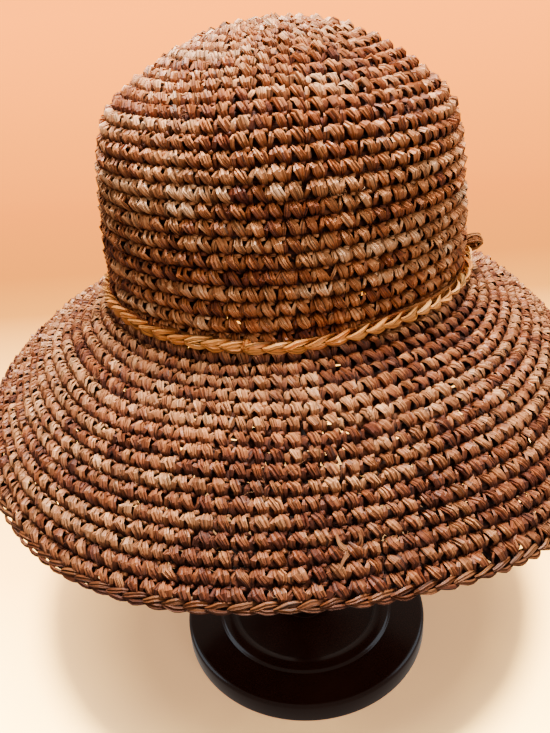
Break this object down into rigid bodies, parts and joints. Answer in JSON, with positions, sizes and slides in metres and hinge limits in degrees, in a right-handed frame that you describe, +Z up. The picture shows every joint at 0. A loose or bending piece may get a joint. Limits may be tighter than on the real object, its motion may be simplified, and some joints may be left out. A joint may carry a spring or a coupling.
{
  "type": "raffia sun hat on a display stand",
  "caption": "Crocheted raffia sun hat with a domed crown, a wide sloping brim and a thin chain cord, resting on a plain round black display stand.",
  "frame": {"origin": "middle of the stand's flat underside, on the surface it stands on", "axes": "+Z up along the stand's post, -Y towards the front of the hat, +X to the right of someone who faces that front"},
  "size_m": [0.3528, 0.3528, 0.3958],
  "materials": {
    "raffia": "crocheted dry palm fibre, brown with tan and pinkish strands",
    "raffia_edge": "braided dry palm fibre, reddish brown",
    "raffia_cord": "chain-stitched dry palm fibre, orange tan",
    "raffia_knot": "knotted dry palm fibre, darker brown",
    "stand": "polished black"
  },
  "bodies": {
    "root": {"crown": "raffia", "brim": "raffia", "brim_edge": "raffia_edge", "hat_cord": "raffia_cord", "cord_knot": "raffia_knot", "stand_base": "stand", "stand_post": "stand", "stand_cap": "stand"}
  },
  "joints": []
}
